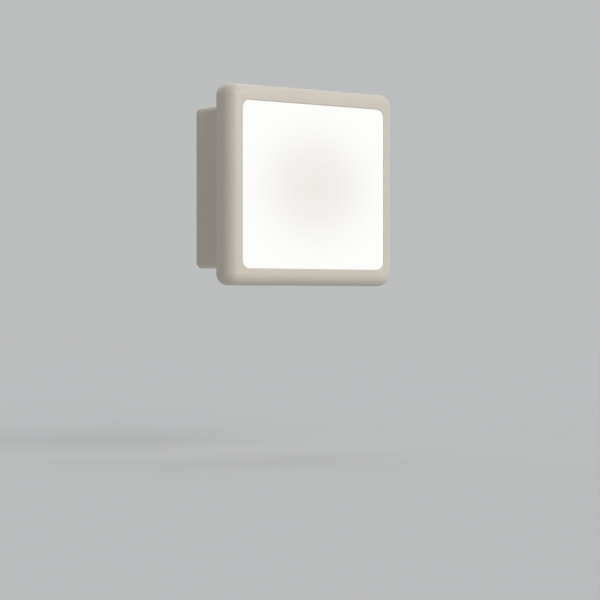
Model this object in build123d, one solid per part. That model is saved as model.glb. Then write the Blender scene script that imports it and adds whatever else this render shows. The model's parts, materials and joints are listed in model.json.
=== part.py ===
from build123d import *
import os

# Plug-in night light: a slim square lamp panel on a boxy neck that stands straight on the wall outlet.
#
# Frame: origin at the centre of the plug face, midway between the blades. +X is to the right as seen
# from the room, +Y runs along the blades into the wall, +Z is up. Lengths are in millimetres.
# A "depth" is a distance from the plug face towards the room, so it is -Y.

# ---------------------------------------------------------------- lamp panel
PANEL_W = 51.2              # across
PANEL_H = 48.4              # up
PANEL_T = 6.0               # thickness
PANEL_RISE = 6.4            # centre of panel and neck above the line of the blades
PANEL_EDGE_IN = 2.9         # oval round-over of the front edge: inwards from the side
PANEL_EDGE_DEEP = 3.55      # and back from the front
EDGE_CUT_PAST = 0.5         # how far the round-over's cut runs past the panel
PANEL_CORNER_EXTRA = 0.1    # corner radius beyond the round-over
PANEL_BACK_R = 0.15
BEZEL_SIDE = 3.65           # frame showing left and right of the diffuser
BEZEL_TOP = 4.05            # frame showing above and below it
WINDOW_R = 2.0
WINDOW_EDGE_R = 0.25
FRAME_WALL = 1.4
FRAME_SKIN = 1.2            # frame thickness over the diffuser's lip
CAVITY_FRONT_R = 1.0

# ---------------------------------------------------------------- optical stack
DIFFUSER_DROP = 0.05        # diffuser face below the bezel
DIFFUSER_EDGE_R = 0.2
DIFFUSER_LIP = 1.0          # lip width behind the bezel
DIFFUSER_LIP_T = 0.6
GUIDE_OVERLAP = 0.6         # light guide past the window on each side
REFLECTOR_T = 0.2
LED_BOARD_T = 0.8
LED_LENGTH = 3.0
LED_TALL = 1.0
LED_DEEP = 1.0
LED_RIM = 0.2               # wall of an LED's cup
LED_CUP = 0.5               # depth of an LED's cup
LED_GAP = 0.2               # LED face to light guide
LEDS_PER_SIDE = 4
LED_PITCH = 9.0

# ---------------------------------------------------------------- rear housing: flange and neck
NECK_W = 39.7
NECK_H = 39.8
NECK_D = 16.55
NECK_WALL = 2.0
NECK_CORNER_R = 1.6
NECK_BACK_R = 0.3
NECK_INNER_R = 0.5
FLANGE_T = 1.2
FLANGE_ROOT_R = 0.3         # outer corner between neck and flange
SNAP_LENGTH = 10.0          # four snap bars that hold the frame on the flange
SNAP_REACH = 0.35
SNAP_BASE = 0.8
SNAP_TIP = 0.3
LOCATING_PEG_R = 0.8
LOCATING_PEG_INSET = 2.6    # from the LED board's edges
LOCATING_PEG_DROP = 0.1     # below the LED board's face

# ---------------------------------------------------------------- rear cover and its fasteners
COVER_T = 2.2
COVER_EDGE_R = 0.5
BOSS_R = 2.7                # bosses in the neck's corners
BOSS_INSET = 2.45           # boss centre from the neck's inner walls
BOSS_LENGTH = 9.0
COVER_SCREW_R = 1.1
COVER_SCREW_LENGTH = 7.5
COVER_HEAD_R = 1.8
COVER_HEAD_T = 0.9
COUNTERBORE_FLOOR = 1.0     # cover left under a screw head
SMALL_SCREW_R = 0.95
SMALL_SCREW_LENGTH = 4.0
SMALL_HEAD_R = 1.7
SMALL_HEAD_T = 1.0
HEAD_EDGE_R = 0.3
DRIVE_W = 0.45              # cross recess
DRIVE_SPAN = 2.0
DRIVE_SINK = 0.5

# ---------------------------------------------------------------- polarised two-blade plug
BLADE_SPACING = 12.7
BLADE_T = 1.5
BLADE_LENGTH = 17.1         # outside the plug face
LINE_BLADE_W = 6.35
NEUTRAL_BLADE_W = 7.94
TIP_TAPER = 1.3
TIP_SIDE_TAPER = 1.0
TIP_T = 0.7
TIP_HOLE_R = 1.59
TIP_HOLE_OUT = 11.9         # hole centre from the plug face
SHOULDER_REACH = 1.2        # shoulder past the blade's edges
SHOULDER_T = 2.0
TAIL_W = 3.0
RETAINER_W = 28.6
RETAINER_H = 12.6
RETAINER_T = 3.4
RETAINER_EDGE_R = 0.5
RETAINER_SCREW_X = 11.3
RETAINER_PAD_R = 2.2
RETAINER_PAD_T = 1.6

# ---------------------------------------------------------------- driver board and its parts
BOARD_STANDOFF = 5.4        # rear cover to board
DRIVER_BOARD_T = 1.2
BOARD_CLEAR = 0.45          # board edge to neck wall
POST_R = 2.1
POST_INSET = 2.45           # post centre from the neck's inner walls
POST_TO_BOSS = 5.7          # lower posts, inwards from the bosses beside them
LEAD_R = 0.3
LEAD_STUB = 0.7             # lead end behind the board
LEAD_RUN = 1.1              # lead from a part's end to its bend
SEAT = 0.3                  # a leaded part's underside above the board
FILM_CAP = (12.0, 5.0, 7.0)     # across, off the board, up
FILM_CAP_TO_SCREW = 0.7     # from the screw head above it
FILM_CAP_PITCH = 10.0       # between its leads
FILM_CAP_EDGE_R = 0.5
SMOOTHING_CAP_R = 2.5
SMOOTHING_CAP_LENGTH = 11.0
SMOOTHING_CAP_TO_HEADER = 0.8
SMOOTHING_CAP_RISE = 4.0
SMOOTHING_CAP_PITCH = 2.0
CAN_EDGE_R = 0.4
CAN_GROOVE_R = 0.35
CAN_GROOVE_FROM_END = 1.4
VARISTOR_R = 2.9
VARISTOR_T = 3.2
VARISTOR_INSET = 4.05       # centre from the neck's inner wall
VARISTOR_RISE = -7.5
VARISTOR_PITCH = 4.0
VARISTOR_EDGE_R = 0.9
FUSE_R = 1.6
FUSE_NECK_R = 1.3
FUSE_LENGTH = 8.4
FUSE_CAP = 1.8              # length of each thicker end of the fusible resistor
FUSE_RISE = -3.0
BRIDGE = (4.7, 2.4, 4.0)
BRIDGE_RISE = 1.6
BRIDGE_LEG_PITCH = 2.5
CHIP = (3.9, 1.5, 4.9)
CHIP_TO_SWITCH = 0.75       # legs to the switch's terminals
CHIP_RISE = 1.2
CHIP_LEG_PITCH = 1.27
LEG_W = 0.5
LEG_T = 0.25
LEG_REACH = 1.0             # out from the package
CHIP_EDGE = 0.2
RESISTOR = (3.2, 0.6, 1.6)
RESISTOR_INSET = 7.05       # centre from the neck's inner wall
RESISTOR_RISES = (8.4, 11.0)
LED_RESISTOR_PITCH = 5.0
HEADER_W = 2.4
HEADER_T = 2.5
HEADER_PINS = 4
HEADER_PITCH = 2.5
HEADER_RISE = 3.0
PIN_W = 0.6
PIN_DROP = 0.1              # pin end below the LED board's face
HOLE_CLEAR = 0.1            # round a lead, pin, peg or screw in a plain hole

# ---------------------------------------------------------------- light sensor
SENSOR_R = 1.5
SENSOR_RIM_R = 1.9
SENSOR_RIM_T = 0.8
SENSOR_LENGTH = 4.0
SENSOR_OFF_BOARD = 3.4
SENSOR_LEAD_PITCH = 2.5
WINDOW_PLUG_R = 2.2
WINDOW_PLUG_RIM_R = 2.9
WINDOW_PLUG_RIM_T = 0.8
WINDOW_PLUG_DISH_R = 5.0    # hollow of its outer face
WINDOW_PLUG_SAG = 0.3
SENSOR_GAP = 0.3            # sensor tip to its window

# ---------------------------------------------------------------- slide switch, right side of the neck
SWITCH_TRAVEL = 2.0         # each way from the middle position
SWITCH_LENGTH = 12.0
SWITCH_WIDE = 5.0
SWITCH_DEEP = 4.6
SWITCH_RISE = 0.0
SWITCH_TO_WALL = 0.15
SWITCH_BASE_T = 1.3
SWITCH_SHEET = 0.4
SLIDER_CLEAR = 0.1
SLIDER_LENGTH = 6.4
SLIDER_T = 2.2
STEM_Y = 2.4
STEM_Z = 2.0
CONTACT_T = 0.2
CONTACT_W = 2.0
CONTACT_GAP = 0.05          # moving contact to the fixed ones
TERMINALS = 4
TERMINAL_PITCH = 2.5
TERMINAL_W = 0.8
TERMINAL_T = 0.4
TERMINAL_OUT = 0.5          # terminal behind the switch base before its bend
KNOB_RECESS = 0.8           # recess in the neck wall for the knob's plate
KNOB_PLATE_T = 0.55
KNOB_PLATE_GAP = 0.1        # plate to recess floor
KNOB_SIDE_GAP = 0.25
KNOB_COVER = 0.1            # plate past the slot at the end of its travel
KNOB_PLATE_Y = 5.2
KNOB_GRIP_Y = 3.8
KNOB_GRIP_Z = 5.0
KNOB_PROUD = 1.1            # grip beyond the neck wall
KNOB_EDGE_R = 0.3
KNOB_RIBS = 3
KNOB_RIB_PITCH = 1.3
KNOB_RIB_CUT = 0.5
MARK_SINK = 0.2             # moulded marks beside the knob: ring, dot and bar
MARK_OUT = 1.3              # mark centre from the recess
MARK_R = 0.7
MARK_LINE = 0.35

# ---------------------------------------------------------------- fits
SEAM = 0.1                  # flange in frame, cover in neck
PAD_FIT = 0.08              # diffuser in the window, stem in the knob, plug in its hole
BOARD_FIT = 0.25            # LED board in the frame
BLADE_FIT = 0.05
SCREW_FIT = 0.02            # screw in its pilot hole

# ---------------------------------------------------------------- worked out from the sizes above
PANEL_FRONT = NECK_D + PANEL_T
PANEL_CORNER_R = PANEL_EDGE_IN + PANEL_CORNER_EXTRA
WINDOW_W = PANEL_W - 2 * BEZEL_SIDE
WINDOW_H = PANEL_H - 2 * BEZEL_TOP
CAVITY_W = PANEL_W - 2 * FRAME_WALL
CAVITY_H = PANEL_H - 2 * FRAME_WALL
CAVITY_R = PANEL_CORNER_R - FRAME_WALL
INNER_W = NECK_W - 2 * NECK_WALL
INNER_H = NECK_H - 2 * NECK_WALL
FLANGE_W = CAVITY_W - 2 * SEAM
FLANGE_H = CAVITY_H - 2 * SEAM

LED_BOARD_BACK = NECK_D + FLANGE_T
LED_BOARD_FRONT = LED_BOARD_BACK + LED_BOARD_T
LED_BOARD_W = CAVITY_W - 2 * BOARD_FIT
LED_BOARD_H = CAVITY_H - 2 * BOARD_FIT
GUIDE_BACK = LED_BOARD_FRONT + REFLECTOR_T
SKIN_BACK = PANEL_FRONT - FRAME_SKIN
GUIDE_FRONT = SKIN_BACK - DIFFUSER_LIP_T
GUIDE_W = WINDOW_W + 2 * GUIDE_OVERLAP
GUIDE_H = WINDOW_H + 2 * GUIDE_OVERLAP

BOARD_BACK = COVER_T + BOARD_STANDOFF
BOARD_FRONT = BOARD_BACK + DRIVER_BOARD_T
BOSS_X = INNER_W / 2 - BOSS_INSET
BOSS_Z = INNER_H / 2 - BOSS_INSET
POST_X = BOSS_X - POST_TO_BOSS
POST_Z = INNER_H / 2 - POST_INSET
HEAD_SEAT = COVER_T - COUNTERBORE_FLOOR
HEADER_X = BOARD_CLEAR + HEADER_W / 2 - INNER_W / 2
SMOOTHING_CAP_X = HEADER_X + HEADER_W / 2 + SMOOTHING_CAP_TO_HEADER + SMOOTHING_CAP_R
VARISTOR_X = VARISTOR_INSET - INNER_W / 2
RESISTOR_X = INNER_W / 2 - RESISTOR_INSET
FILM_CAP_RISE = POST_Z - SMALL_HEAD_R - FILM_CAP_TO_SCREW - FILM_CAP[2] / 2

NECK_RIGHT = NECK_W / 2
INNER_RIGHT = INNER_W / 2
SWITCH_RIGHT = INNER_RIGHT - SWITCH_TO_WALL
SWITCH_LEFT = SWITCH_RIGHT - SWITCH_DEEP
SWITCH_DEPTH = BOARD_FRONT + SWITCH_WIDE / 2
SWITCH_Z = PANEL_RISE + SWITCH_RISE
BASE_TOP = SWITCH_LEFT + SWITCH_BASE_T
TERMINAL_LEFT = SWITCH_LEFT - TERMINAL_OUT - TERMINAL_T
CHIP_X = TERMINAL_LEFT - CHIP_TO_SWITCH - LEG_REACH - CHIP[0] / 2
SLIDER_RIGHT = SWITCH_RIGHT - SWITCH_SHEET - SLIDER_CLEAR
RECESS_FLOOR = NECK_RIGHT - KNOB_RECESS
SLOT_HALF = STEM_Z / 2 + SWITCH_TRAVEL + KNOB_SIDE_GAP
KNOB_PLATE_HALF = SLOT_HALF + SWITCH_TRAVEL + KNOB_COVER
RECESS_HALF_Z = KNOB_PLATE_HALF + SWITCH_TRAVEL + KNOB_SIDE_GAP
RECESS_HALF_Y = KNOB_PLATE_Y / 2 + KNOB_SIDE_GAP
KNOB_TOP = NECK_RIGHT + KNOB_PROUD
STEM_TOP = NECK_RIGHT

SENSOR_DEPTH = BOARD_FRONT + SENSOR_OFF_BOARD
NECK_FLOOR = PANEL_RISE - NECK_H / 2
INNER_FLOOR = PANEL_RISE - INNER_H / 2
SENSOR_TIP = INNER_FLOOR + WINDOW_PLUG_RIM_T + SENSOR_GAP

CORNERS = [(side, end) for side in (-1, 1) for end in (-1, 1)]
COVER_SCREWS = [(side * BOSS_X, PANEL_RISE + end * BOSS_Z) for side, end in CORNERS]
POSTS = [(0, PANEL_RISE + POST_Z), (-POST_X, PANEL_RISE - POST_Z), (POST_X, PANEL_RISE - POST_Z)]
RETAINER_SCREWS = [(-RETAINER_SCREW_X, 0), (RETAINER_SCREW_X, 0)]
LOCATING_PEGS = [
    (side * (LED_BOARD_W / 2 - LOCATING_PEG_INSET), PANEL_RISE + end * (LED_BOARD_H / 2 - LOCATING_PEG_INSET))
    for side, end in CORNERS
]
BLADES = [(-BLADE_SPACING / 2, NEUTRAL_BLADE_W), (BLADE_SPACING / 2, LINE_BLADE_W)]


# ---------------------------------------------------------------- helpers
def spread(count, pitch):
    """Positions of a centred row."""
    return [(i - (count - 1) / 2) * pitch for i in range(count)]


def about(centre, size):
    """Low and high limit of a size about its centre."""
    return centre - size / 2, centre + size / 2


def plate(width, height, corner_r, depth_0, depth_1):
    """Rounded plate square to the blades, centred on the panel, between two depths."""
    outline = Plane.XZ.offset(depth_0) * Pos(0, PANEL_RISE) * RectangleRounded(width, height, corner_r)
    return extrude(outline, amount=depth_1 - depth_0)


def block(x_span, depth_span, z_span):
    """Box between low and high limits."""
    (x0, x1), (d0, d1), (z0, z1) = x_span, depth_span, z_span
    return Pos((x0 + x1) / 2, -(d0 + d1) / 2, (z0 + z1) / 2) * Box(x1 - x0, d1 - d0, z1 - z0)


def peg(x, z, radius, depth_0, depth_1):
    """Round bar along the depth."""
    return extrude(Plane.XZ.offset(depth_0) * Pos(x, z) * Circle(radius), amount=depth_1 - depth_0)


def bar(start, end, radius):
    """Round bar between two (x, depth, z) points."""
    a, b = [Vector(x, -depth, z) for x, depth, z in (start, end)]
    upright = Cylinder(radius, (b - a).length, align=(Align.CENTER, Align.CENTER, Align.MIN))
    return Plane(origin=a, z_dir=b - a) * upright


def bent_lead(start, bend):
    """Lead from a part's end to its bend, and from there through the driver board."""
    x, depth, z = bend
    knee = Pos(x, -depth, z) * Sphere(LEAD_R)
    return bar(start, bend, LEAD_R) + bar(bend, (x, BOARD_BACK - LEAD_STUB, z), LEAD_R) + knee


def pan_screw(radius, length, head_r, head_t):
    """Pan-head screw on its own axis: the head stands on Z = 0 and the shank runs down."""
    upright = (Align.CENTER, Align.CENTER, Align.MIN)
    head = Cylinder(head_r, head_t, align=upright)
    head = fillet(head.edges().sort_by(Axis.Z)[-1], HEAD_EDGE_R)
    point = Pos(0, 0, -length) * Cone(radius / 2, radius, radius, align=upright)
    shank = Pos(0, 0, radius - length) * Cylinder(radius, length - radius, align=upright)
    sink = (Align.CENTER, Align.CENTER, Align.MAX)
    cross = Box(DRIVE_SPAN, DRIVE_W, DRIVE_SINK, align=sink)
    cross += Box(DRIVE_W, DRIVE_SPAN, DRIVE_SINK, align=sink)
    return head + shank + point - Pos(0, 0, head_t) * cross


def screws_at(spots, depth, towards_room, screw):
    """Copies of a screw with their heads seated at one depth, pointing to the room or to the wall."""
    shank_way = -1 if towards_room else 1
    return [Plane(origin=(x, -depth, z), z_dir=(0, -shank_way, 0)) * screw for x, z in spots]


def snap_bars(grow):
    """Trapezoid bar at the middle of each flange edge; grow widens them into the frame's grooves."""
    middle = NECK_D + FLANGE_T / 2
    bars = []
    for turn, edge in ((0, FLANGE_W / 2), (90, FLANGE_H / 2), (180, FLANGE_W / 2), (270, FLANGE_H / 2)):
        root, tip = edge - SNAP_BASE, edge + SNAP_REACH + grow
        outline = Polygon(
            (root, -middle - SNAP_BASE / 2 - grow),
            (edge, -middle - SNAP_BASE / 2 - grow),
            (tip, -middle - SNAP_TIP / 2 - grow),
            (tip, -middle + SNAP_TIP / 2 + grow),
            (edge, -middle + SNAP_BASE / 2 + grow),
            (root, -middle + SNAP_BASE / 2 + grow),
            align=None,
        )
        straight = extrude(outline, amount=SNAP_LENGTH / 2 + grow, both=True)
        bars.append(Pos(0, 0, PANEL_RISE) * Rot(0, turn, 0) * straight)
    return bars


# ---------------------------------------------------------------- lamp panel
def front_edge_cut():
    """What the oval round-over takes off the panel's front edge, all the way round."""
    outline = RectangleRounded(PANEL_W, PANEL_H, PANEL_CORNER_R).wire()
    edge = Plane.XZ.offset(PANEL_FRONT) * Pos(0, PANEL_RISE) * outline
    corner = (Align.MIN, Align.MAX)
    square = Rectangle(PANEL_EDGE_IN + EDGE_CUT_PAST, PANEL_EDGE_DEEP + EDGE_CUT_PAST, align=corner)
    section = square - Ellipse(PANEL_EDGE_IN, PANEL_EDGE_DEEP)
    centre = Pos(PANEL_W / 2 - PANEL_EDGE_IN, PANEL_EDGE_DEEP - PANEL_FRONT, PANEL_RISE)
    return sweep(centre * section, path=edge)


def front_frame():
    """Bezel and side walls in one moulding, open at the back."""
    shell = plate(PANEL_W, PANEL_H, PANEL_CORNER_R, NECK_D, PANEL_FRONT) - front_edge_cut()
    shell = fillet(shell.faces().sort_by(Axis.Y)[-1].edges(), PANEL_BACK_R)
    cavity = plate(CAVITY_W, CAVITY_H, CAVITY_R, NECK_D, SKIN_BACK)
    cavity = fillet(cavity.faces().sort_by(Axis.Y)[0].edges(), CAVITY_FRONT_R)
    frame = shell - cavity - plate(WINDOW_W, WINDOW_H, WINDOW_R, NECK_D, PANEL_FRONT)
    frame = fillet(frame.faces().sort_by(Axis.Y)[0].inner_wires().edges(), WINDOW_EDGE_R)
    return frame - snap_bars(SEAM)


def diffuser_panel():
    """Opal panel: its pad fills the window and its lip sits behind the bezel."""
    pad_w, pad_h = WINDOW_W - 2 * PAD_FIT, WINDOW_H - 2 * PAD_FIT
    pad = plate(pad_w, pad_h, WINDOW_R - PAD_FIT, GUIDE_FRONT, PANEL_FRONT - DIFFUSER_DROP)
    pad = fillet(pad.faces().sort_by(Axis.Y)[0].edges(), DIFFUSER_EDGE_R)
    reach = 2 * DIFFUSER_LIP
    return pad + plate(WINDOW_W + reach, WINDOW_H + reach, WINDOW_R + DIFFUSER_LIP, GUIDE_FRONT, SKIN_BACK)


def light_guide():
    return plate(GUIDE_W, GUIDE_H, WINDOW_R, GUIDE_BACK, GUIDE_FRONT)


def reflector_sheet():
    return plate(GUIDE_W, GUIDE_H, WINDOW_R, LED_BOARD_FRONT, GUIDE_BACK)


def led_board():
    """Board on the flange that carries the LEDs round the light guide."""
    board = plate(LED_BOARD_W, LED_BOARD_H, CAVITY_R - BOARD_FIT, LED_BOARD_BACK, LED_BOARD_FRONT)
    for x, z in LOCATING_PEGS:
        board -= peg(x, z, LOCATING_PEG_R + HOLE_CLEAR, LED_BOARD_BACK, LED_BOARD_FRONT)
    for x, z in header_spots():
        board -= peg(x, z, PIN_W / 2 + 2 * HOLE_CLEAR, LED_BOARD_BACK, LED_BOARD_FRONT)
    return board


def led_places():
    """Locations of the LEDs: each faces the middle of the panel from its own edge of the guide."""
    places = []
    for turn, edge in ((0, GUIDE_W / 2), (90, GUIDE_H / 2), (180, GUIDE_W / 2), (270, GUIDE_H / 2)):
        for along in spread(LEDS_PER_SIDE, LED_PITCH):
            outwards = Pos(edge + LED_GAP, -LED_BOARD_FRONT, along)
            places.append(Pos(0, 0, PANEL_RISE) * Rot(0, turn, 0) * outwards)
    return places


def led_cup(deep):
    """Emitting cup at the LED's inner face."""
    size = (deep, LED_TALL - 2 * LED_RIM, LED_LENGTH - 2 * LED_RIM)
    return Pos(deep / 2, -LED_TALL / 2, 0) * Box(*size)


def side_leds():
    body = Pos(LED_DEEP / 2, -LED_TALL / 2, 0) * Box(LED_DEEP, LED_TALL, LED_LENGTH) - led_cup(LED_CUP)
    return [place * body for place in led_places()]


def led_phosphors():
    return [place * led_cup(LED_CUP) for place in led_places()]


def led_resistors():
    """Chip resistors on the back of the LED board."""
    across, tall, up = RESISTOR
    return [
        block(about(x, across), (LED_BOARD_BACK - tall, LED_BOARD_BACK), about(PANEL_RISE, up))
        for x in spread(3, LED_RESISTOR_PITCH)
    ]


# ---------------------------------------------------------------- housing
def rear_housing():
    """Flange that closes the frame, and the neck that stands on the wall."""
    neck = plate(NECK_W, NECK_H, NECK_CORNER_R, 0, LED_BOARD_BACK)
    neck = fillet(neck.faces().sort_by(Axis.Y)[-1].edges(), NECK_BACK_R)
    body = neck + plate(FLANGE_W, FLANGE_H, CAVITY_R - SEAM, NECK_D, LED_BOARD_BACK)
    flange_back = body.faces().filter_by(Axis.Y).sort_by(Axis.Y)[1]
    body = fillet(flange_back.inner_wires().edges(), FLANGE_ROOT_R)
    body = body + snap_bars(0) - plate(INNER_W, INNER_H, NECK_INNER_R, 0, LED_BOARD_BACK)
    for x, z in COVER_SCREWS:
        boss = peg(x, z, BOSS_R, COVER_T, COVER_T + BOSS_LENGTH)
        body += boss & plate(NECK_W, NECK_H, NECK_CORNER_R, COVER_T, LED_BOARD_BACK)
    for x, z in COVER_SCREWS:
        body -= peg(x, z, COVER_SCREW_R + SCREW_FIT, COVER_T, HEAD_SEAT + COVER_SCREW_LENGTH + HOLE_CLEAR)
    for x, z in LOCATING_PEGS:
        body += peg(x, z, LOCATING_PEG_R, NECK_D, LED_BOARD_FRONT - LOCATING_PEG_DROP)
    return body - knob_opening() - sensor_hole() - switch_marks()


def knob_opening():
    """Recess for the knob's plate and the slot for its stem, in the neck's right wall."""
    recess = block(
        (RECESS_FLOOR, NECK_RIGHT + KNOB_PROUD),
        about(SWITCH_DEPTH, 2 * RECESS_HALF_Y),
        about(SWITCH_Z, 2 * RECESS_HALF_Z),
    )
    slot = block(
        (INNER_RIGHT - NECK_WALL, RECESS_FLOOR),
        about(SWITCH_DEPTH, STEM_Y + 2 * KNOB_SIDE_GAP),
        about(SWITCH_Z, 2 * SLOT_HALF),
    )
    return recess + slot


def sensor_hole():
    return bar((0, SENSOR_DEPTH, NECK_FLOOR), (0, SENSOR_DEPTH, INNER_FLOOR), WINDOW_PLUG_R + PAD_FIT)


def switch_marks():
    """Ring, dot and bar sunk in the neck's wall beside the knob's three positions."""
    mark_y = RECESS_HALF_Y + MARK_OUT - SWITCH_DEPTH
    face = Plane(origin=(NECK_RIGHT, mark_y, SWITCH_Z), x_dir=(0, 1, 0), z_dir=(1, 0, 0))
    ring = Pos(0, -SWITCH_TRAVEL) * (Circle(MARK_R) - Circle(MARK_R - MARK_LINE))
    dot = Circle(MARK_LINE)
    bar_mark = Pos(0, SWITCH_TRAVEL) * Rectangle(2 * MARK_R, MARK_LINE)
    return [extrude(face * mark, amount=-MARK_SINK) for mark in (ring, dot, bar_mark)]


def rear_cover():
    """Plug face: blade slots, counterbored screws, and the posts that carry the driver board."""
    cover = plate(INNER_W - 2 * SEAM, INNER_H - 2 * SEAM, COVER_EDGE_R, 0, COVER_T)
    for x, z in RETAINER_SCREWS:
        cover += peg(x, z, RETAINER_PAD_R, COVER_T, COVER_T + RETAINER_PAD_T)
        pilot_end = COVER_T + RETAINER_T - SMALL_SCREW_LENGTH - HOLE_CLEAR
        cover -= peg(x, z, SMALL_SCREW_R + SCREW_FIT, pilot_end, COVER_T + RETAINER_PAD_T)
    for x, z in POSTS:
        cover += peg(x, z, POST_R, COVER_T, BOARD_BACK)
        pilot_end = BOARD_FRONT - SMALL_SCREW_LENGTH - HOLE_CLEAR
        cover -= peg(x, z, SMALL_SCREW_R + SCREW_FIT, pilot_end, BOARD_BACK)
    for x, z in COVER_SCREWS:
        cover -= peg(x, z, COVER_SCREW_R + HOLE_CLEAR, 0, COVER_T)
        cover -= peg(x, z, COVER_HEAD_R + HOLE_CLEAR, 0, HEAD_SEAT)
    for x, width in BLADES:
        cover -= block(about(x, BLADE_T + 2 * BLADE_FIT), (0, COVER_T), about(0, width + 2 * BLADE_FIT))
    return cover


def cover_screws():
    screw = pan_screw(COVER_SCREW_R, COVER_SCREW_LENGTH, COVER_HEAD_R, COVER_HEAD_T)
    return screws_at(COVER_SCREWS, HEAD_SEAT, True, screw)


# ---------------------------------------------------------------- plug
def blade(x, width):
    """Stamped blade: tapered tip with its hole, shoulders inside the cover and a tail to the board."""
    tail_end = BOARD_FRONT + LEAD_STUB
    half, shoulder, tail = width / 2, width / 2 + SHOULDER_REACH, TAIL_W / 2
    upper = [
        (BLADE_LENGTH, half - TIP_TAPER),
        (BLADE_LENGTH - TIP_TAPER, half),
        (-COVER_T, half),
        (-COVER_T, shoulder),
        (-COVER_T - SHOULDER_T, shoulder),
        (-COVER_T - SHOULDER_T, tail),
        (-tail_end, tail),
    ]
    outline = upper + [(y, -z) for y, z in reversed(upper)]
    flat = extrude(Plane.YZ * Polygon(*outline, align=None), amount=BLADE_T / 2, both=True)
    thin, thick = TIP_T / 2, BLADE_T / 2
    plan = Polygon(
        (-thick, -tail_end),
        (thick, -tail_end),
        (thick, BLADE_LENGTH - TIP_SIDE_TAPER),
        (thin, BLADE_LENGTH),
        (-thin, BLADE_LENGTH),
        (-thick, BLADE_LENGTH - TIP_SIDE_TAPER),
        align=None,
    )
    tapered = flat & extrude(plan, amount=shoulder, both=True)
    hole = bar((-BLADE_T, -TIP_HOLE_OUT, 0), (BLADE_T, -TIP_HOLE_OUT, 0), TIP_HOLE_R)
    return Pos(x, 0, 0) * (tapered - hole)


def blade_retainer():
    """Insulating clamp that holds both blades against the rear cover."""
    outline = Plane.XZ.offset(COVER_T) * RectangleRounded(RETAINER_W, RETAINER_H, RETAINER_EDGE_R)
    clamp = extrude(outline, amount=RETAINER_T)
    for x, width in BLADES:
        slot = about(x, BLADE_T + 2 * BLADE_FIT)
        shoulder_w = width + 2 * SHOULDER_REACH + 2 * BLADE_FIT
        clamp -= block(slot, (COVER_T, COVER_T + SHOULDER_T), about(0, shoulder_w))
        tail_w = TAIL_W + 2 * BLADE_FIT
        clamp -= block(slot, (COVER_T, COVER_T + RETAINER_T), about(0, tail_w))
    for x, z in RETAINER_SCREWS:
        clamp -= peg(x, z, RETAINER_PAD_R + HOLE_CLEAR, COVER_T, COVER_T + RETAINER_PAD_T)
        clamp -= peg(x, z, SMALL_SCREW_R + HOLE_CLEAR, COVER_T, COVER_T + RETAINER_T)
    for x, z in POSTS:      # these reach the clamp only on a smaller neck
        clamp -= peg(x, z, POST_R + HOLE_CLEAR, COVER_T, COVER_T + RETAINER_T)
    return clamp


def retainer_screws():
    screw = pan_screw(SMALL_SCREW_R, SMALL_SCREW_LENGTH, SMALL_HEAD_R, SMALL_HEAD_T)
    return screws_at(RETAINER_SCREWS, COVER_T + RETAINER_T, False, screw)


# ---------------------------------------------------------------- driver board
def driver_board():
    """Board on the cover's posts, notched round the neck's bosses."""
    clear = 2 * BOARD_CLEAR
    board = plate(INNER_W - clear, INNER_H - clear, NECK_INNER_R, BOARD_BACK, BOARD_FRONT)
    for x, z in COVER_SCREWS:
        board -= peg(x, z, BOSS_R + BOARD_CLEAR, BOARD_BACK, BOARD_FRONT)
    for x, z in POSTS:
        board -= peg(x, z, SMALL_SCREW_R + HOLE_CLEAR, BOARD_BACK, BOARD_FRONT)
    for x, z in lead_spots():
        board -= peg(x, z, LEAD_R + HOLE_CLEAR, BOARD_BACK, BOARD_FRONT)
    for x, z in header_spots():
        board -= peg(x, z, PIN_W / 2 + 2 * HOLE_CLEAR, BOARD_BACK, BOARD_FRONT)
    for x, _ in BLADES:
        slot_w = TAIL_W + 2 * HOLE_CLEAR
        board -= block(about(x, BLADE_T + 2 * HOLE_CLEAR), (BOARD_BACK, BOARD_FRONT), about(0, slot_w))
    for z in terminal_rises():
        foot = about(TERMINAL_LEFT + TERMINAL_T / 2, TERMINAL_T + 2 * HOLE_CLEAR)
        board -= block(foot, (BOARD_BACK, BOARD_FRONT), about(z, TERMINAL_W + 2 * HOLE_CLEAR))
    return board


def board_screws():
    screw = pan_screw(SMALL_SCREW_R, SMALL_SCREW_LENGTH, SMALL_HEAD_R, SMALL_HEAD_T)
    return screws_at(POSTS, BOARD_FRONT, False, screw)


def film_capacitor():
    """Box capacitor that drops the mains voltage, lying on its side."""
    across, tall, up = FILM_CAP
    seat = BOARD_FRONT + SEAT
    body = block(about(0, across), (seat, seat + tall), about(PANEL_RISE + FILM_CAP_RISE, up))
    return fillet(body.edges(), FILM_CAP_EDGE_R)


def smoothing_capacitor():
    """Electrolytic can lying on the board, with its crimped groove near the lead end."""
    low, high = about(PANEL_RISE + SMOOTHING_CAP_RISE, SMOOTHING_CAP_LENGTH)
    depth = BOARD_FRONT + SMOOTHING_CAP_R
    can = bar((SMOOTHING_CAP_X, depth, low), (SMOOTHING_CAP_X, depth, high), SMOOTHING_CAP_R)
    can = fillet(can.edges(), CAN_EDGE_R)
    groove = Pos(SMOOTHING_CAP_X, -depth, low + CAN_GROOVE_FROM_END) * Torus(SMOOTHING_CAP_R, CAN_GROOVE_R)
    return can - groove


def surge_varistor():
    """Coated disc lying on the board."""
    seat = BOARD_FRONT + SEAT
    disc = peg(VARISTOR_X, PANEL_RISE + VARISTOR_RISE, VARISTOR_R, seat, seat + VARISTOR_T)
    return fillet(disc.edges(), VARISTOR_EDGE_R)


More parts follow.
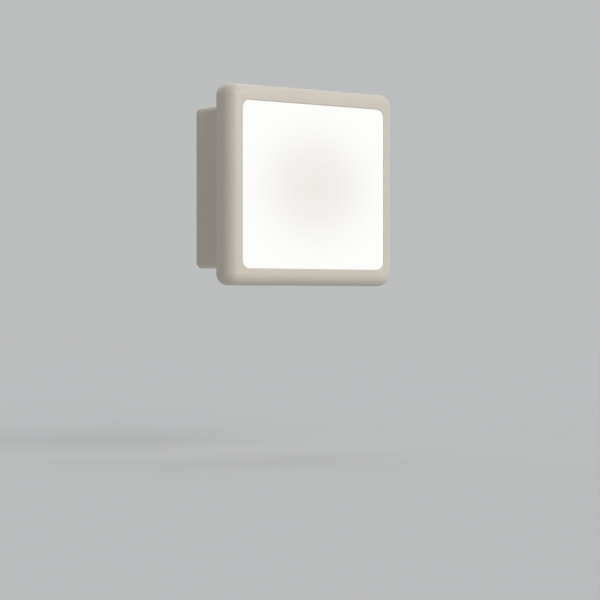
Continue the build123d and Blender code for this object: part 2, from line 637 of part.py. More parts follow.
def fusible_resistor():
    """Axial resistor with thicker ends, across the board between the blades."""
    depth, z = BOARD_FRONT + SEAT + FUSE_R, PANEL_RISE + FUSE_RISE
    left, right = about(0, FUSE_LENGTH)
    body = bar((left, depth, z), (right, depth, z), FUSE_NECK_R)
    for start, end in ((left, left + FUSE_CAP), (right - FUSE_CAP, right)):
        body += fillet(bar((start, depth, z), (end, depth, z), FUSE_R).edges(), CAN_EDGE_R)
    return body


def leaded_ends():
    """Start and bend of every bent lead, as (x, depth, z) points."""
    pairs = []
    can_end = PANEL_RISE + SMOOTHING_CAP_RISE - SMOOTHING_CAP_LENGTH / 2
    for side in spread(2, SMOOTHING_CAP_PITCH):
        x, depth = SMOOTHING_CAP_X + side, BOARD_FRONT + SMOOTHING_CAP_R
        pairs.append(((x, depth, can_end), (x, depth, can_end - LEAD_RUN)))
    for along in spread(2, VARISTOR_PITCH):
        z, depth = PANEL_RISE + VARISTOR_RISE + along, BOARD_FRONT + SEAT + VARISTOR_T / 2
        pairs.append(((VARISTOR_X, depth, z), (VARISTOR_X + VARISTOR_R + LEAD_RUN, depth, z)))
    for side in (-1, 1):
        end, depth, z = side * FUSE_LENGTH / 2, BOARD_FRONT + SEAT + FUSE_R, PANEL_RISE + FUSE_RISE
        pairs.append(((end, depth, z), (end + side * LEAD_RUN, depth, z)))
    return pairs


def sensor_lead_ends():
    top = SENSOR_TIP + SENSOR_LENGTH
    return [
        ((x, SENSOR_DEPTH, top), (x, SENSOR_DEPTH, top + LEAD_RUN)) for x in spread(2, SENSOR_LEAD_PITCH)
    ]


def film_lead_spots():
    return [(x, PANEL_RISE + FILM_CAP_RISE) for x in spread(2, FILM_CAP_PITCH)]


def lead_spots():
    """Every place where a round lead goes through the driver board."""
    return film_lead_spots() + [(x, z) for _, (x, _, z) in leaded_ends() + sensor_lead_ends()]


def component_leads():
    """Tinned leads of the capacitors, the varistor and the fusible resistor."""
    leads = [bent_lead(start, bend) for start, bend in leaded_ends()]
    varistor = surge_varistor()
    leads = [lead - varistor for lead in leads]
    for x, z in film_lead_spots():
        leads.append(peg(x, z, LEAD_R, BOARD_BACK - LEAD_STUB, BOARD_FRONT + SEAT))
    return leads


def gull_legs(body, x, z, per_side, pitch):
    """Flat legs of a surface-mounted package, left and right of its body."""
    across, tall, _ = body
    legs = []
    for side in (-1, 1):
        for along in spread(per_side, pitch):
            root, toe = x + side * across / 2, x + side * (across / 2 + LEG_REACH)
            knee = root + side * LEG_REACH / 2
            shoulder = (BOARD_FRONT + tall / 2 - LEG_T, BOARD_FRONT + tall / 2)
            rise = about(z + along, LEG_W)
            leg = block(sorted((root, knee)), shoulder, rise)
            leg += block(sorted((knee - side * LEG_T, knee)), (BOARD_FRONT, shoulder[1]), rise)
            leg += block(sorted((knee - side * LEG_T, toe)), (BOARD_FRONT, BOARD_FRONT + LEG_T), rise)
            legs.append(leg)
    return legs


def package(body, x, z):
    """Moulded package that stands just off the board on its legs."""
    across, tall, up = body
    solid = block(about(x, across), (BOARD_FRONT + HOLE_CLEAR, BOARD_FRONT + tall), about(z, up))
    return chamfer(solid.faces().sort_by(Axis.Y)[0].edges(), CHIP_EDGE)


def bridge_rectifier():
    return package(BRIDGE, 0, PANEL_RISE + BRIDGE_RISE)


def control_chip():
    return package(CHIP, CHIP_X, PANEL_RISE + CHIP_RISE)


def package_legs():
    bridge = gull_legs(BRIDGE, 0, PANEL_RISE + BRIDGE_RISE, 2, BRIDGE_LEG_PITCH)
    return bridge + gull_legs(CHIP, CHIP_X, PANEL_RISE + CHIP_RISE, 4, CHIP_LEG_PITCH)


def chip_resistors():
    across, tall, up = RESISTOR
    return [
        block(about(RESISTOR_X, across), (BOARD_FRONT, BOARD_FRONT + tall), about(PANEL_RISE + rise, up))
        for rise in RESISTOR_RISES
    ]


# ---------------------------------------------------------------- link between the boards
def header_spots():
    return [(HEADER_X, PANEL_RISE + HEADER_RISE + along) for along in spread(HEADER_PINS, HEADER_PITCH)]


def link_pins():
    """Square pins from the driver board to the LED board."""
    return [
        block(about(x, PIN_W), (BOARD_BACK - LEAD_STUB, LED_BOARD_FRONT - PIN_DROP), about(z, PIN_W))
        for x, z in header_spots()
    ]


def link_header():
    """Plastic strip that keeps the link pins apart."""
    length = HEADER_PINS * HEADER_PITCH
    rise = about(PANEL_RISE + HEADER_RISE, length)
    strip = block(about(HEADER_X, HEADER_W), (BOARD_FRONT, BOARD_FRONT + HEADER_T), rise)
    return strip - link_pins()


# ---------------------------------------------------------------- light sensor
def light_sensor():
    """Domed light sensor that looks down through its window."""
    tip_end = SENSOR_TIP + SENSOR_R
    top = SENSOR_TIP + SENSOR_LENGTH
    body = bar((0, SENSOR_DEPTH, tip_end), (0, SENSOR_DEPTH, top), SENSOR_R)
    body += bar((0, SENSOR_DEPTH, top - SENSOR_RIM_T), (0, SENSOR_DEPTH, top), SENSOR_RIM_R)
    return body + Pos(0, -SENSOR_DEPTH, tip_end) * Sphere(SENSOR_R)


def sensor_leads():
    return [bent_lead(start, bend) for start, bend in sensor_lead_ends()]


def sensor_window():
    """Smoked plug in the neck's underside, slightly hollow outside, held by its rim inside."""
    plug = bar((0, SENSOR_DEPTH, NECK_FLOOR), (0, SENSOR_DEPTH, INNER_FLOOR), WINDOW_PLUG_R)
    rim_top = INNER_FLOOR + WINDOW_PLUG_RIM_T
    plug += bar((0, SENSOR_DEPTH, INNER_FLOOR), (0, SENSOR_DEPTH, rim_top), WINDOW_PLUG_RIM_R)
    dish_z = NECK_FLOOR + WINDOW_PLUG_SAG - WINDOW_PLUG_DISH_R
    return plug - Pos(0, -SENSOR_DEPTH, dish_z) * Sphere(WINDOW_PLUG_DISH_R)


# ---------------------------------------------------------------- slide switch
def terminal_rises():
    return [SWITCH_Z + along for along in spread(TERMINALS, TERMINAL_PITCH)]


def switch_terminals():
    """Fixed contacts: flush in the base, out of its back and down through the driver board."""
    strips = []
    for z in terminal_rises():
        rise = about(z, TERMINAL_W)
        strip = block((TERMINAL_LEFT, BASE_TOP), about(SWITCH_DEPTH, TERMINAL_T), rise)
        foot = (TERMINAL_LEFT, TERMINAL_LEFT + TERMINAL_T)
        strip += block(foot, (BOARD_BACK - LEAD_STUB, SWITCH_DEPTH + TERMINAL_T / 2), rise)
        strips.append(strip)
    return strips


def switch_base():
    """Insulating base of the switch."""
    base = block((SWITCH_LEFT, BASE_TOP), about(SWITCH_DEPTH, SWITCH_WIDE), about(SWITCH_Z, SWITCH_LENGTH))
    return base - switch_terminals()


def switch_frame():
    """Folded steel cage over the slider, slotted for the stem."""
    cage = block((BASE_TOP, SWITCH_RIGHT), about(SWITCH_DEPTH, SWITCH_WIDE), about(SWITCH_Z, SWITCH_LENGTH))
    inside = block(
        (BASE_TOP, SWITCH_RIGHT - SWITCH_SHEET),
        about(SWITCH_DEPTH, SWITCH_WIDE - 2 * SWITCH_SHEET),
        about(SWITCH_Z, SWITCH_LENGTH - 2 * SWITCH_SHEET),
    )
    slot = block(
        (SWITCH_RIGHT - SWITCH_SHEET, SWITCH_RIGHT),
        about(SWITCH_DEPTH, STEM_Y + 2 * KNOB_SIDE_GAP),
        about(SWITCH_Z, 2 * SLOT_HALF),
    )
    return cage - inside - slot


def switch_slider():
    """Block that runs in the cage, with the stem that carries the knob."""
    wide = SWITCH_WIDE - 2 * SWITCH_SHEET - 2 * SLIDER_CLEAR
    across = (SLIDER_RIGHT - SLIDER_T, SLIDER_RIGHT)
    slider = block(across, about(SWITCH_DEPTH, wide), about(SWITCH_Z, SLIDER_LENGTH))
    return slider + block((SLIDER_RIGHT, STEM_TOP), about(SWITCH_DEPTH, STEM_Y), about(SWITCH_Z, STEM_Z))


def sliding_contact():
    """Bridging strip under the slider, with a bump over each of two neighbouring terminals."""
    top = SLIDER_RIGHT - SLIDER_T
    low = BASE_TOP + CONTACT_GAP
    strip = block((top - CONTACT_T, top), about(SWITCH_DEPTH, CONTACT_W), about(SWITCH_Z, SLIDER_LENGTH))
    front, back = about(SWITCH_DEPTH, CONTACT_W)
    for along in spread(2, TERMINAL_PITCH):
        x, z = (low + top) / 2, SWITCH_Z + along
        strip += bar((x, front, z), (x, back, z), (top - low) / 2)
    return strip


def switch_knob():
    """Ribbed grip on a plate that hides the slot at every position."""
    plate_left = RECESS_FLOOR + KNOB_PLATE_GAP
    plate_body = block(
        (plate_left, plate_left + KNOB_PLATE_T),
        about(SWITCH_DEPTH, KNOB_PLATE_Y),
        about(SWITCH_Z, 2 * KNOB_PLATE_HALF),
    )
    grip = block((plate_left, KNOB_TOP), about(SWITCH_DEPTH, KNOB_GRIP_Y), about(SWITCH_Z, KNOB_GRIP_Z))
    grip = fillet(grip.faces().sort_by(Axis.X)[-1].edges(), KNOB_EDGE_R)
    for along in spread(KNOB_RIBS, KNOB_RIB_PITCH):
        across = KNOB_GRIP_Y / 2
        start = (KNOB_TOP, SWITCH_DEPTH - across, SWITCH_Z + along)
        grip -= bar(start, (KNOB_TOP, SWITCH_DEPTH + across, SWITCH_Z + along), KNOB_RIB_CUT / 2)
    socket = block(
        (plate_left, STEM_TOP),
        about(SWITCH_DEPTH, STEM_Y + 2 * PAD_FIT),
        about(SWITCH_Z, STEM_Z + 2 * PAD_FIT),
    )
    return plate_body + grip - socket


# ---------------------------------------------------------------- write every piece
PIECES = {
    "front_frame": front_frame,
    "diffuser_panel": diffuser_panel,
    "light_guide": light_guide,
    "reflector_sheet": reflector_sheet,
    "led_board": led_board,
    "side_leds": side_leds,
    "led_phosphors": led_phosphors,
    "led_resistors": led_resistors,
    "rear_housing": rear_housing,
    "rear_cover": rear_cover,
    "cover_screws": cover_screws,
    "neutral_blade": lambda: blade(*BLADES[0]),
    "line_blade": lambda: blade(*BLADES[1]),
    "blade_retainer": blade_retainer,
    "retainer_screws": retainer_screws,
    "driver_board": driver_board,
    "board_screws": board_screws,
    "film_capacitor": film_capacitor,
    "smoothing_capacitor": smoothing_capacitor,
    "surge_varistor": surge_varistor,
    "fusible_resistor": fusible_resistor,
    "component_leads": component_leads,
    "bridge_rectifier": bridge_rectifier,
    "control_chip": control_chip,
    "package_legs": package_legs,
    "chip_resistors": chip_resistors,
    "link_pins": link_pins,
    "link_header": link_header,
    "light_sensor": light_sensor,
    "sensor_leads": sensor_leads,
    "sensor_window": sensor_window,
    "switch_terminals": switch_terminals,
    "switch_base": switch_base,
    "switch_frame": switch_frame,
    "switch_slider": switch_slider,
    "sliding_contact": sliding_contact,
    "switch_knob": switch_knob,
}

os.makedirs("parts", exist_ok=True)
for name, make in PIECES.items():
    shape = make()
    if isinstance(shape, list):
        shape = Compound(children=shape)
    export_step(shape, f"parts/{name}.step")
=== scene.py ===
import json
import math

import bpy
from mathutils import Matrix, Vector

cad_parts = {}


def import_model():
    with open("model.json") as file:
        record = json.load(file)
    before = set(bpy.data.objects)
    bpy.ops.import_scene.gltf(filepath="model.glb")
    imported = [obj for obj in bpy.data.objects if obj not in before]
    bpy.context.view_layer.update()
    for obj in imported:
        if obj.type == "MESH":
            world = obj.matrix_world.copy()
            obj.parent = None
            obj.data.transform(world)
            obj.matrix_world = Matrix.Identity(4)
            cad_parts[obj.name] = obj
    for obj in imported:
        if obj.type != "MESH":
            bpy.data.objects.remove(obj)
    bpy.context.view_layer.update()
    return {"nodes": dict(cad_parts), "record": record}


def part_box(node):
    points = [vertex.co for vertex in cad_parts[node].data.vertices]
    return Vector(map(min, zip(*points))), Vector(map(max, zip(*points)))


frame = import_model()

MM = 0.001      # lengths are in metres
SLOT_OF = {item["node"]: item["material_slot"] for item in frame["record"]["subparts"]}

TONE_SPAN = (0.35, 0.65)    # range of a noise over which a tone changes
GRAIN_SPAN = (0.3, 0.7)     # range of a noise over which a roughness changes
OPAQUE_IOR = 1.5
LIT_THROUGH_IOR = 1.49      # of the pieces that light goes through


# ---------------------------------------------------------------- node helpers
class Nodes:
    """A material's node tree with short calls for the nodes that the surfaces share."""

    def __init__(self, name):
        self.material = bpy.data.materials.new(name)
        self.material.use_nodes = True
        self.tree = self.material.node_tree
        self.shader = self.tree.nodes["Principled BSDF"]
        self.coords = self.tree.nodes.new("ShaderNodeTexCoord").outputs["Object"]
        self.normal = None

    def add(self, kind, **settings):
        node = self.tree.nodes.new(kind)
        for key, value in settings.items():
            setattr(node, key, value)
        return node

    def link(self, output, node_input):
        self.tree.links.new(output, node_input)

    def set(self, **values):
        """Constant values on the shader's own sockets, such as metallic or emission_strength."""
        for key, value in values.items():
            socket = key.replace("_", " ").title().replace("Ior", "IOR")
            self.shader.inputs[socket].default_value = value

    def axes(self):
        split = self.add("ShaderNodeSeparateXYZ")
        self.link(self.coords, split.inputs["Vector"])
        return split.outputs["X"], split.outputs["Y"], split.outputs["Z"]

    def noise(self, size, detail=3.0, roughness=0.5, stretch=(1, 1, 1)):
        """Noise whose features are about size metres across, divided by the stretch on each axis."""
        mapping = self.add("ShaderNodeMapping")
        mapping.inputs["Scale"].default_value = stretch
        self.link(self.coords, mapping.inputs["Vector"])
        node = self.add("ShaderNodeTexNoise")
        node.inputs["Scale"].default_value = 1 / size
        node.inputs["Detail"].default_value = detail
        node.inputs["Roughness"].default_value = roughness
        self.link(mapping.outputs["Vector"], node.inputs["Vector"])
        return node.outputs["Fac"]

    def ramp(self, value, low, high, out_low=0.0, out_high=1.0, smooth=False):
        node = self.add("ShaderNodeMapRange", interpolation_type="SMOOTHSTEP" if smooth else "LINEAR")
        limits = {"From Min": low, "From Max": high, "To Min": out_low, "To Max": out_high}
        for key, number in limits.items():
            node.inputs[key].default_value = number
        self.link(value, node.inputs["Value"])
        return node.outputs["Result"]

    def rough(self, noise, roughness, spread):
        """Roughness that follows a noise, off the given value by the spread's two ends."""
        below, above = spread
        return self.ramp(noise, *GRAIN_SPAN, roughness + below, roughness + above)

    def math(self, operation, *terms):
        node = self.add("ShaderNodeMath", operation=operation)
        for term, socket in zip(terms, node.inputs):
            if isinstance(term, (int, float)):
                socket.default_value = term
            else:
                self.link(term, socket)
        return node.outputs["Value"]

    def off_centre(self, value, centre):
        """Distance of a coordinate from a centre line."""
        return self.math("ABSOLUTE", self.math("SUBTRACT", value, centre))

    def off_cell_centre(self, value, pitch):
        """Distance of a coordinate from the middle of its cell in an even grid."""
        return self.off_centre(self.math("WRAP", value, pitch, 0.0), pitch / 2)

    def distance(self, a, b):
        """Distance from the point where both coordinates are zero."""
        return self.math("SQRT", self.math("ADD", self.math("MULTIPLY", a, a), self.math("MULTIPLY", b, b)))

    def blend(self, factor, low, high):
        node = self.add("ShaderNodeMix", data_type="RGBA")
        self.link(factor, node.inputs["Factor"])
        for key, colour in (("A", low), ("B", high)):
            socket = [s for s in node.inputs if s.name == key and s.type == "RGBA"][0]
            if isinstance(colour, tuple):
                socket.default_value = (*colour, 1.0)
            else:
                self.link(colour, socket)
        return [s for s in node.outputs if s.type == "RGBA"][0]

    def closed_in(self, reach, inside=False):
        """Share of the space within reach that is closed off, in corners, or at edges seen from inside."""
        node = self.add("ShaderNodeAmbientOcclusion", inside=inside, only_local=inside, samples=8)
        node.inputs["Distance"].default_value = reach
        return self.math("SUBTRACT", 1.0, node.outputs["AO"])

    def bump(self, height, depth):
        """Bump of the given depth in metres, on top of the bumps made before it."""
        node = self.add("ShaderNodeBump")
        node.inputs["Distance"].default_value = depth
        self.link(height, node.inputs["Height"])
        if self.normal:
            self.link(self.normal, node.inputs["Normal"])
        self.normal = node.outputs["Normal"]
        self.link(self.normal, self.shader.inputs["Normal"])

    def finish(self, colour, roughness):
        self.link(colour, self.shader.inputs["Base Color"])
        self.link(roughness, self.shader.inputs["Roughness"])
        return self.material


def middle(node, axis):
    low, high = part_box(node)
    return (low[axis] + high[axis]) / 2


def darker(share, colour):
    return tuple(share * c for c in colour)


# ---------------------------------------------------------------- plastics and lacquers
FLOW_SIZE = 14 * MM             # faint flow marks in a moulding's tone
FLOW_STRETCH = (1, 1, 0.6)
SINK_SIZE = 5 * MM              # slight waviness of a moulded face
SINK_DEPTH = 0.02 * MM
MOULD_GRAIN = 0.15 * MM
MOULD_GRAIN_DEPTH = 0.003 * MM
MOULD_SPREAD = (-0.04, 0.04)
CORNER_REACH = 0.5 * MM         # painted shade darkens faces this near to a corner or seam
CORNER_SPAN = (0.2, 0.6)        # how closed in a place is where the painted shade begins and is full
CORNER_SHADE = 0.72


def moulded(name, dark, light, roughness, markings=None):
    """Moulded plastic or lacquer: fine grain, slight sinks, faint flow in its tone, painted shade in its
    corners and seams.

    The markings are a function of the node tree that gives masks, each with its tone.
    """
    m = Nodes(name)
    flow = m.noise(FLOW_SIZE, detail=2, stretch=FLOW_STRETCH)
    fine = m.noise(MOULD_GRAIN, detail=3, roughness=0.6)
    m.bump(m.noise(SINK_SIZE, detail=1), SINK_DEPTH)
    m.bump(fine, MOULD_GRAIN_DEPTH)
    m.set(ior=OPAQUE_IOR)
    colour = m.blend(m.ramp(flow, *TONE_SPAN), dark, light)
    for mask, tint in markings(m) if markings else []:
        colour = m.blend(mask, colour, tint)
    # Painted shade: faces near corners and seams between parts are darkened, the more closed in the darker.
    painted_corner_shade = darker(CORNER_SHADE, dark)
    colour = m.blend(m.ramp(m.closed_in(CORNER_REACH), *CORNER_SPAN), colour, painted_corner_shade)
    return m.finish(colour, m.rough(fine, roughness, MOULD_SPREAD))


GLOW_REACH = (25.0 * MM, 20.5 * MM)     # where the dimmer middle ends, across and up
GLOW_MIDDLE = (0.738, 0.718, 0.682)
GLOW_RIM = (0.862, 0.860, 0.852)
HAZE_SIZE = 0.4 * MM
HAZE_DEPTH = 0.002 * MM
OPAL_DARK = (0.085, 0.085, 0.083)       # dark, because the glow already gives the panel its tone
OPAL_LIGHT = (0.095, 0.095, 0.093)
OPAL_ROUGHNESS = (0.42, 0.5)


def diffuser_opal(name):
    """Opal panel lit from its edges: full at the rim, a little less in the middle."""
    m = Nodes(name)
    x, _, z = m.axes()
    across = m.math("DIVIDE", m.off_centre(x, middle("diffuser_panel", 0)), GLOW_REACH[0])
    up = m.math("DIVIDE", m.off_centre(z, middle("diffuser_panel", 2)), GLOW_REACH[1])
    glow = m.ramp(m.distance(across, up), 0.0, 1.0, smooth=True)
    m.link(m.blend(glow, GLOW_MIDDLE, GLOW_RIM), m.shader.inputs["Emission Color"])
    m.set(emission_strength=1.0, ior=LIT_THROUGH_IOR)
    haze = m.noise(HAZE_SIZE, detail=2)
    m.bump(haze, HAZE_DEPTH)
    return m.finish(m.blend(haze, OPAL_DARK, OPAL_LIGHT), m.ramp(haze, *GRAIN_SPAN, *OPAL_ROUGHNESS))


# ---------------------------------------------------------------- circuit boards
BOARD_PARTS = [
    "film_capacitor",
    "smoothing_capacitor",
    "surge_varistor",
    "fusible_resistor",
    "bridge_rectifier",
    "control_chip",
    "link_header",
]
OUTLINE_GAP = 0.35 * MM
OUTLINE_LINE = 0.18 * MM
PRINT_TONE = (0.82, 0.82, 0.80)
COPPER_T = 0.035 * MM
PATCH = (4.3 * MM, 3.1 * MM)    # tracks run one way within a patch of the board
ACROSS_BELOW = 0.35             # patches whose draw is lower have tracks across
UP_ABOVE = 0.65                 # those above this have tracks up, the rest are whole copper
TRACK_PITCH = 0.62 * MM
TRACK_HALF = 0.17 * MM
WEAVE_SIZE = 0.3 * MM
WEAVE_DEPTH = 0.003 * MM
BOARD_SPREAD = (-0.04, 0.05)


def part_outlines(m):
    """Mask of the printed line round the place of each part, on the board's front."""
    x, y, z = m.axes()
    mask = 0.0
    for node in BOARD_PARTS:
        low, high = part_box(node)
        beside = m.math("SUBTRACT", m.off_centre(x, middle(node, 0)), (high.x - low.x) / 2 + OUTLINE_GAP)
        above = m.math("SUBTRACT", m.off_centre(z, middle(node, 2)), (high.z - low.z) / 2 + OUTLINE_GAP)
        edge = m.math("ABSOLUTE", m.math("MAXIMUM", beside, above))
        mask = m.math("MAXIMUM", m.math("LESS_THAN", edge, OUTLINE_LINE / 2), mask)
    return m.math("MULTIPLY", mask, m.math("LESS_THAN", y, middle("driver_board", 1)))


def board(name, bare, over_copper, roughness, printed=None):
    """Circuit board: solder mask over patches of tracks across, tracks up and whole copper.

    The first tone is that over bare board. What is printed is a function that gives its mask.
    """
    m = Nodes(name)
    x, _, z = m.axes()
    patch = m.add("ShaderNodeCombineXYZ")
    m.link(m.math("SNAP", x, PATCH[0]), patch.inputs["X"])
    m.link(m.math("SNAP", z, PATCH[1]), patch.inputs["Y"])
    draw = m.add("ShaderNodeTexWhiteNoise")
    m.link(patch.outputs["Vector"], draw.inputs["Vector"])
    tracks = [m.math("LESS_THAN", m.off_cell_centre(axis, TRACK_PITCH), TRACK_HALF) for axis in (z, x)]
    across = m.math("LESS_THAN", draw.outputs["Value"], ACROSS_BELOW)
    up = m.math("GREATER_THAN", draw.outputs["Value"], UP_ABOVE)
    whole = m.math("SUBTRACT", 1.0, m.math("ADD", across, up))
    rows, columns = [m.math("MULTIPLY", track, kind) for track, kind in zip(tracks, (across, up))]
    copper = m.math("ADD", m.math("ADD", rows, columns), whole)
    weave = m.noise(WEAVE_SIZE, detail=2)
    m.bump(copper, COPPER_T)
    m.bump(weave, WEAVE_DEPTH)
    colour = m.blend(copper, bare, over_copper)
    if printed:
        colour = m.blend(printed(m), colour, PRINT_TONE)
    return m.finish(colour, m.rough(weave, roughness, BOARD_SPREAD))


# ---------------------------------------------------------------- markings of single parts
STRIPE_HALF = 0.9 * MM
STRIPE_TONE = (0.42, 0.45, 0.50)
SLEEVE_LIP = 0.55 * MM          # sleeve folded over the can's end
CAN_END_DEEP = 0.05 * MM        # the bare end is drawn this far down from the can's top
CAN_END_TONE = (0.60, 0.60, 0.61)


def can_stripe_and_end(m):
    """Pale stripe along the side of the can that faces the room, and bare metal at its upper end."""
    low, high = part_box("smoothing_capacitor")
    x, y, z = m.axes()
    beside = m.off_centre(x, middle("smoothing_capacitor", 0))
    deep = m.off_centre(y, middle("smoothing_capacitor", 1))
    front = m.math("LESS_THAN", y, middle("smoothing_capacitor", 1))
    stripe = m.math("MULTIPLY", m.math("LESS_THAN", beside, STRIPE_HALF), front)
    out = m.distance(beside, deep)
    top = m.math("GREATER_THAN", z, high.z - CAN_END_DEEP)
    end = m.math("MULTIPLY", m.math("LESS_THAN", out, (high.x - low.x) / 2 - SLEEVE_LIP), top)
    return [(stripe, STRIPE_TONE), (end, CAN_END_TONE)]


BAND_HALF = 0.28 * MM
BANDS = [                       # place from the resistor's middle, colour
    (-1.7 * MM, (0.12, 0.04, 0.015)),
    (-0.6 * MM, (0.01, 0.01, 0.01)),
    (0.5 * MM, (0.01, 0.01, 0.01)),
    (1.8 * MM, (0.45, 0.28, 0.06)),
]


def resistor_bands(m):
    """Colour bands round the fusible resistor."""
    x = m.axes()[0]
    centre = middle("fusible_resistor", 0)
    return [(m.math("LESS_THAN", m.off_centre(x, centre + at), BAND_HALF), tint) for at, tint in BANDS]


FLECK_SIZE = 0.18 * MM
FLECK_STRETCH = (0.25, 1, 1)
FLECK_SPAN = (0.62, 0.7)        # only the noise's peaks show
FLECK_SHARE = 0.5
FLECK_TONE = (0.30, 0.30, 0.30)


def glass_flecks(m):
    """Short pale streaks of glass fibre at the surface of a filled moulding."""
    streaks = m.noise(FLECK_SIZE, detail=1, stretch=FLECK_STRETCH)
    return [(m.ramp(streaks, *FLECK_SPAN, 0.0, FLECK_SHARE), FLECK_TONE)]


# ---------------------------------------------------------------- metals
MARK_DEPTH = 0.001 * MM
CLOUD_SIZE = 7 * MM             # slow change of the plating's tone
METAL_SPREAD = (-0.05, 0.07)
EDGE_REACH = 0.25 * MM          # plating is rubbed this near to an edge
EDGE_SPAN = (0.15, 0.45)        # how much of an edge a place is where the rub begins and is full
RUB_SPAN = (0.4, 0.6)           # range of the drawing marks over which the rub comes and goes
ALONG_Y = (1, 0.04, 1)
ALONG_Z = (1, 1, 0.08)


def metal(name, dark, light, worn, roughness, grain, streak=(1, 1, 1)):
    """Plated metal: drawing marks as fine as the grain, a slightly uneven tone, rubbed at the edges."""
    m = Nodes(name)
    marks = m.noise(grain, detail=4, roughness=0.55, stretch=streak)
    cloud = m.noise(CLOUD_SIZE, detail=2)
    m.bump(marks, MARK_DEPTH)
    m.set(metallic=1.0)
    colour = m.blend(m.ramp(cloud, *TONE_SPAN), dark, light)
    at_edge = m.ramp(m.closed_in(EDGE_REACH, inside=True), *EDGE_SPAN)
    rubbed = m.math("MULTIPLY", at_edge, m.ramp(marks, *RUB_SPAN))
    return m.finish(m.blend(rubbed, colour, worn), m.rough(marks, roughness, METAL_SPREAD))


# ---------------------------------------------------------------- clear pieces
CLEAR_RIPPLE = 0.6 * MM
RIPPLE_DEPTH = 0.001 * MM
CLEAR_SHADE = 0.92
CLEAR_SPREAD = (0.0, 0.04)


def clear(name, colour, roughness, transmission):
    """Clear or tinted moulding with a faint ripple, which lets through the given share of light."""
    m = Nodes(name)
    ripple = m.noise(CLEAR_RIPPLE, detail=2)
    m.bump(ripple, RIPPLE_DEPTH)
    m.set(ior=LIT_THROUGH_IOR, transmission_weight=transmission)
    dark = darker(CLEAR_SHADE, colour)
    return m.finish(m.blend(ripple, dark, colour), m.rough(ripple, roughness, CLEAR_SPREAD))


GUIDE_RIPPLE = 1.5 * MM
GUIDE_TRANSMISSION = 0.3
GUIDE_TONE = (0.80, 0.82, 0.83)
GUIDE_ROUGHNESS = (0.03, 0.06)
DOT_PITCH = 1.2 * MM
DOT_R = 0.22 * MM
DOT_TONE = (0.92, 0.92, 0.91)


def guide_clear(name):
    """Polished acrylic, milky from the grid of white dots that turn its light out to the front."""
    m = Nodes(name)
    x, _, z = m.axes()
    across, up = [m.off_cell_centre(axis, DOT_PITCH) for axis in (x, z)]
    dots = m.math("LESS_THAN", m.distance(across, up), DOT_R)
    ripple = m.noise(GUIDE_RIPPLE, detail=1)
    m.bump(ripple, RIPPLE_DEPTH)
    m.set(ior=LIT_THROUGH_IOR, transmission_weight=GUIDE_TRANSMISSION)
    return m.finish(m.blend(dots, GUIDE_TONE, DOT_TONE), m.ramp(ripple, *GRAIN_SPAN, *GUIDE_ROUGHNESS))


# ---------------------------------------------------------------- surface of each record slot
# Each slot has the function that makes its surface and what that function takes after the name.
SURFACES = {
    "housing_white": (moulded, (0.628, 0.576, 0.502), (0.652, 0.599, 0.524), 0.46),
    "diffuser_opal": (diffuser_opal,),
    "guide_clear": (guide_clear,),
    "reflector_white": (moulded, (0.86, 0.86, 0.86), (0.9, 0.9, 0.9), 0.55),
    "led_board_white": (board, (0.72, 0.72, 0.69), (0.80, 0.80, 0.78), 0.4),
    "driver_board_green": (board, (0.010, 0.066, 0.023), (0.018, 0.115, 0.038), 0.3, part_outlines),
    "led_body": (moulded, (0.82, 0.81, 0.78), (0.86, 0.85, 0.82), 0.35),
    "led_phosphor": (moulded, (0.78, 0.55, 0.06), (0.85, 0.62, 0.1), 0.3),
    "black_moulding": (moulded, (0.012, 0.012, 0.013), (0.02, 0.02, 0.021), 0.5),
    "plated_brass": (
        metal, (0.66, 0.64, 0.60), (0.72, 0.70, 0.66), (0.72, 0.56, 0.30), 0.24, 0.1 * MM, ALONG_Y
    ),
    "screw_steel": (metal, (0.50, 0.50, 0.48), (0.58, 0.58, 0.56), (0.72, 0.72, 0.71), 0.3, 0.2 * MM),
    "tinned_wire": (metal, (0.55, 0.55, 0.55), (0.66, 0.66, 0.66), (0.62, 0.60, 0.56), 0.3, 0.3 * MM),
    "retainer_grey": (moulded, (0.075, 0.078, 0.082), (0.095, 0.098, 0.1), 0.5, glass_flecks),
    "film_yellow": (moulded, (0.62, 0.40, 0.022), (0.70, 0.46, 0.03), 0.3),
    "can_sleeve": (moulded, (0.006, 0.01, 0.024), (0.01, 0.015, 0.034), 0.25, can_stripe_and_end),
    "varistor_blue": (moulded, (0.01, 0.045, 0.19), (0.015, 0.06, 0.24), 0.3),
    "resistor_coat": (moulded, (0.09, 0.2, 0.13), (0.12, 0.24, 0.16), 0.4, resistor_bands),
    "sensor_clear": (clear, (0.85, 0.88, 0.92), 0.05, 0.8),
    "window_smoke": (clear, (0.20, 0.165, 0.14), 0.05, 0.5),
    "switch_sheet": (
        metal, (0.55, 0.55, 0.53), (0.64, 0.64, 0.62), (0.70, 0.69, 0.67), 0.3, 0.2 * MM, ALONG_Z
    ),
    "knob_white": (moulded, (0.50, 0.475, 0.42), (0.54, 0.512, 0.455), 0.5),
}


def dress_nodes():
    """Gives every CAD node the surface of its record slot."""
    made = {}
    for node, obj in frame["nodes"].items():
        slot = SLOT_OF[node]
        if slot not in made:
            make, *values = SURFACES[slot]
            made[slot] = make(slot, *values)
        for material_slot in obj.material_slots:
            material_slot.material = made[slot]


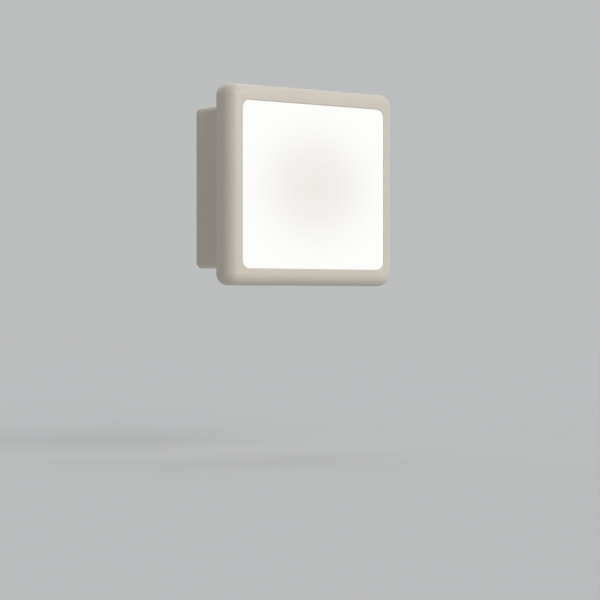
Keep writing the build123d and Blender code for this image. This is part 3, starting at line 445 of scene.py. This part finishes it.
# ---------------------------------------------------------------- stage, light and camera
STUDIO = (0.505, 0.510, 0.515)      # tone of the air behind the part
SEEN_STRENGTH = 1.0                 # the surroundings as seen, reflected or looked at through a clear piece
LIT_STRENGTH = 0.5                  # and as they light the part
FLOOR_TONE = (0.622, 0.628, 0.634)  # comes out as about the same tone under these lamps
FLOOR_SHADE = 0.98
FLOOR_ROUGHNESS = (0.85, 0.9)
FLOOR_GLOSS = 0.2
MOTTLE_SIZE = 0.05
FLOOR_Z = -60 * MM
FLOOR_R = 1.6
FLOOR_SIDES = 96
FLOOR_SOLID_R = 0.5                 # the floor fades into the background beyond this
CAMERA_AT = Vector((-307.2, -410.6, -22.1)) * MM
CAMERA_YAW = math.radians(37.93)
LEVEL = math.radians(90)            # a camera that isn't turned looks straight down
FOCAL_PIXELS = 2021
FRAME_PIXELS = 600
SENSOR_MM = 36.0
SHIFT_UP = 0.0053
NEAREST_SEEN = 0.01


def floor():
    """Pale floor below the part, fading out evenly into the pale surroundings."""
    bpy.ops.mesh.primitive_circle_add(
        vertices=FLOOR_SIDES, radius=FLOOR_R, fill_type="NGON", location=(0, 0, FLOOR_Z)
    )
    disc = bpy.context.object
    disc.name = "floor"
    m = Nodes("floor_pale")
    mottle = m.noise(MOTTLE_SIZE, detail=2)
    x, y, _ = m.axes()
    fade = m.ramp(m.distance(x, y), FLOOR_SOLID_R, FLOOR_R, 1.0, 0.0, smooth=True)
    m.link(fade, m.shader.inputs["Alpha"])
    m.set(specular_ior_level=FLOOR_GLOSS)
    colour = m.blend(mottle, darker(FLOOR_SHADE, FLOOR_TONE), FLOOR_TONE)
    disc.data.materials.append(m.finish(colour, m.ramp(mottle, *GRAIN_SPAN, *FLOOR_ROUGHNESS)))


def sun(name, towards, strength, softness):
    """Distant light from the given direction, as soft as the sine of its half angle says."""
    data = bpy.data.lights.new(name, "SUN")
    data.energy = strength
    data.angle = 2 * math.asin(softness)
    light = bpy.data.objects.new(name, data)
    light.rotation_euler = (-Vector(towards)).to_track_quat("-Z", "Y").to_euler()
    bpy.context.collection.objects.link(light)


def lights():
    """A soft key from the front and above, and a broad weaker light from behind on the right."""
    sun("key", towards=(0.06, -0.90, 0.38), strength=1.9, softness=0.45)
    sun("back", towards=(0.50, 0.68, 0.54), strength=1.5, softness=0.8)


def world():
    """Even pale surroundings, shown in the studio's tone and lighting the part more softly."""
    scene_world = bpy.data.worlds.new("studio")
    scene_world.use_nodes = True
    tree = scene_world.node_tree
    background = tree.nodes["Background"]
    background.inputs["Color"].default_value = (*STUDIO, 1.0)
    path = tree.nodes.new("ShaderNodeLightPath")
    seen = tree.nodes.new("ShaderNodeMath")
    seen.operation = "MAXIMUM"
    tree.links.new(path.outputs["Is Camera Ray"], seen.inputs[0])
    clear_or_gloss = tree.nodes.new("ShaderNodeMath")
    clear_or_gloss.operation = "MAXIMUM"
    tree.links.new(path.outputs["Is Glossy Ray"], clear_or_gloss.inputs[0])
    tree.links.new(path.outputs["Is Transmission Ray"], clear_or_gloss.inputs[1])
    tree.links.new(clear_or_gloss.outputs["Value"], seen.inputs[1])
    strength = tree.nodes.new("ShaderNodeMapRange")
    strength.inputs["To Min"].default_value = LIT_STRENGTH
    strength.inputs["To Max"].default_value = SEEN_STRENGTH
    tree.links.new(seen.outputs["Value"], strength.inputs["Value"])
    tree.links.new(strength.outputs["Result"], background.inputs["Strength"])
    bpy.context.scene.world = scene_world


def camera():
    data = bpy.data.cameras.new("camera")
    data.sensor_width = SENSOR_MM
    data.lens = SENSOR_MM * FOCAL_PIXELS / FRAME_PIXELS
    data.shift_y = SHIFT_UP
    data.clip_start = NEAREST_SEEN
    cam = bpy.data.objects.new("camera", data)
    cam.location = CAMERA_AT
    cam.rotation_euler = (LEVEL, 0, -CAMERA_YAW)
    bpy.context.collection.objects.link(cam)
    bpy.context.scene.camera = cam


dress_nodes()
floor()
lights()
world()
camera()
bpy.context.scene.view_settings.view_transform = "Standard"
